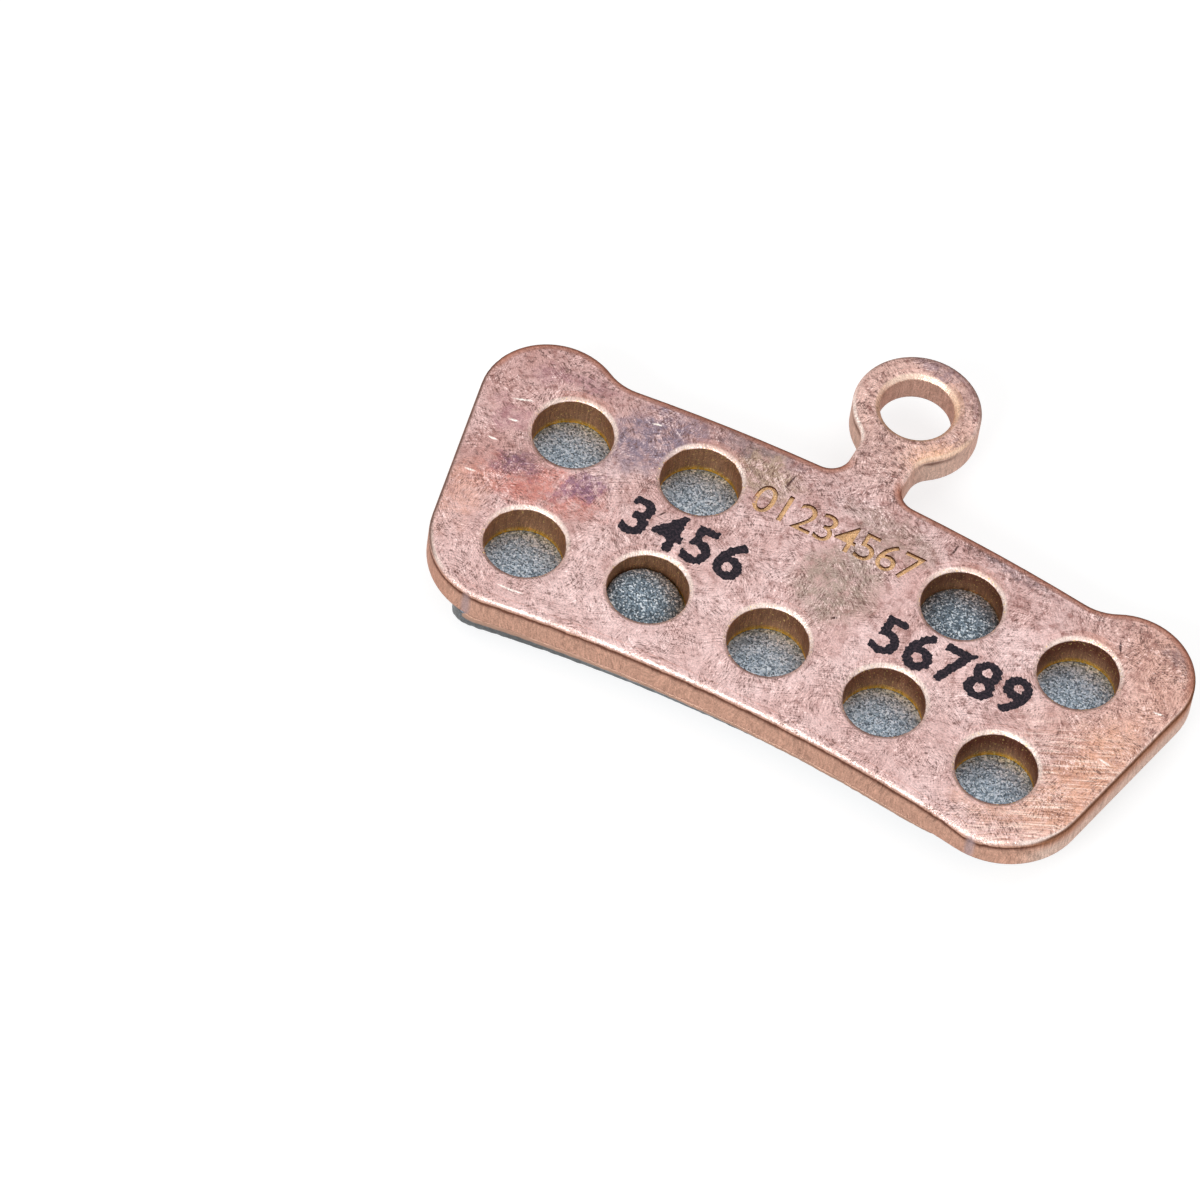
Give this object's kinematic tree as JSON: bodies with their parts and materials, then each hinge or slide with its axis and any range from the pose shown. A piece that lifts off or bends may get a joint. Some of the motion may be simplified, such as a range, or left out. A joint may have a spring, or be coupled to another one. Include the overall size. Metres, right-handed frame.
{
  "type": "bicycle disc brake pad",
  "caption": "Curved disc brake pad: copper-plated steel backing plate with keying holes, ears and a pin eye on a neck, and a bevelled sintered friction block bonded to its front.",
  "frame": {"origin": "on the friction face, on the pad's line of symmetry, 112 mm from the centre of the brake disc", "axes": "+X along the pad, +Y outwards to the pin eye, +Z from the friction face to the back of the plate"},
  "size_m": [0.046, 0.0294, 0.0043],
  "materials": {
    "copper_plated_steel": "tumbled satin copper plating, mottled with oxide",
    "sintered_compound": "granular, ground on the friction face"
  },
  "bodies": {
    "root": {"backing_plate": "copper_plated_steel", "friction_pad": "sintered_compound"}
  },
  "joints": []
}
